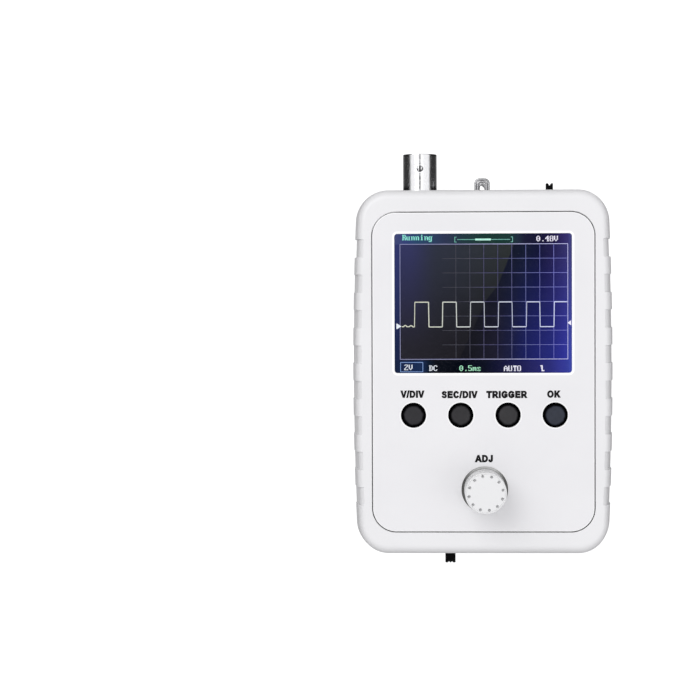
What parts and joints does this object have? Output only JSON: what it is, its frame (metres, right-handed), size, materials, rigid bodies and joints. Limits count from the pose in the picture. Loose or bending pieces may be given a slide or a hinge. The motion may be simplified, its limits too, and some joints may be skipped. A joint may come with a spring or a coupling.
{
  "type": "handheld oscilloscope",
  "caption": "Pocket oscilloscope in a rounded white case with a colour screen, round push buttons, a push-and-turn knob, a coaxial input socket and slide switches.",
  "frame": {"origin": "centre of the flat rear face of the case", "axes": "+Z out of the screen, +Y towards the input socket, +X to the right when facing the screen"},
  "size_m": [0.0766, 0.1211, 0.0338],
  "materials": {
    "case_white": "fine satin moulded plastic",
    "knob_white": "satin moulded plastic",
    "button_black": "satin charcoal plastic",
    "switch_black": "black nylon",
    "nickel": "bright nickel plate",
    "steel": "plated steel",
    "brass": "gold-flashed brass",
    "ptfe": "white insulating plastic",
    "lens": "clear, glossy",
    "screen": "lit display with a grid and a trace",
    "board_green": "solder-masked circuit board",
    "chip_black": "moulded epoxy",
    "foam": "closed-cell foam pad",
    "ribbon": "polyimide flat cable"
  },
  "bodies": {
    "case": {"side_frame": "case_white", "front_panel": "case_white", "rear_panel": "case_white", "screen_lens": "lens", "lcd_glass": "screen", "lcd_frame": "steel", "display_pad": "foam", "display_ribbon": "ribbon", "main_board": "board_green", "lower_board": "board_green", "pin_header_left": "chip_black", "pin_header_right": "chip_black", "shield_can": "nickel", "mcu_chip": "chip_black", "crystal": "nickel", "opamp_chip": "chip_black", "regulator": "chip_black", "capacitor_1": "steel", "capacitor_2": "steel", "trimmer_1": "ptfe", "trimmer_2": "ptfe", "bnc_barrel": "nickel", "bnc_insulator": "ptfe", "bnc_contact": "brass", "bnc_block": "switch_black", "test_terminal": "nickel", "coupling_switch_can": "steel", "power_switch_can": "steel", "dc_jack": "switch_black", "dc_jack_pin": "nickel", "encoder_body": "steel", "encoder_bush": "brass", "tact_switch_vdiv": "switch_black", "tact_switch_secdiv": "switch_black", "tact_switch_trigger": "switch_black", "tact_switch_ok": "switch_black", "case_screw_1": "steel", "board_screw_1": "steel", "case_screw_2": "steel", "board_screw_2": "steel", "case_screw_3": "steel", "board_screw_3": "steel", "case_screw_4": "steel", "board_screw_4": "steel"},
    "knob": {"knob": "knob_white", "encoder_shaft": "steel"},
    "encoder_push": {"encoder_plunger": "ptfe"},
    "coupling_slider": {"coupling_slider": "switch_black"},
    "power_slider": {"power_slider": "switch_black"},
    "button_vdiv": {"button_vdiv": "button_black", "plunger_vdiv": "ptfe"},
    "button_secdiv": {"button_secdiv": "button_black", "plunger_secdiv": "ptfe"},
    "button_trigger": {"button_trigger": "button_black", "plunger_trigger": "ptfe"},
    "button_ok": {"button_ok": "button_black", "plunger_ok": "ptfe"}
  },
  "joints": [
    {"name": "vdiv_press", "type": "slide", "parent": "case", "child": "button_vdiv", "axis": [0, 0, -1], "range_m": [0, 0.00025], "stiffness_N_per_m": 1200},
    {"name": "secdiv_press", "type": "slide", "parent": "case", "child": "button_secdiv", "axis": [0, 0, -1], "range_m": [0, 0.00025], "stiffness_N_per_m": 1200},
    {"name": "trigger_press", "type": "slide", "parent": "case", "child": "button_trigger", "axis": [0, 0, -1], "range_m": [0, 0.00025], "stiffness_N_per_m": 1200},
    {"name": "ok_press", "type": "slide", "parent": "case", "child": "button_ok", "axis": [0, 0, -1], "range_m": [0, 0.00025], "stiffness_N_per_m": 1200},
    {"name": "knob_push", "type": "slide", "parent": "case", "child": "encoder_push", "axis": [0, 0, -1], "range_m": [0, 0.0005], "stiffness_N_per_m": 1500},
    {"name": "knob_turn", "type": "hinge", "parent": "encoder_push", "child": "knob", "pos_m": [0.00035, -0.03425, 0.0338], "axis": [0, 0, 1], "continuous": true},
    {"name": "coupling_slide", "type": "slide", "parent": "case", "child": "coupling_slider", "axis": [1, 0, 0], "range_m": [-0.002, 0.002]},
    {"name": "power_slide", "type": "slide", "parent": "case", "child": "power_slider", "axis": [1, 0, 0], "range_m": [0, 0.002]}
  ]
}
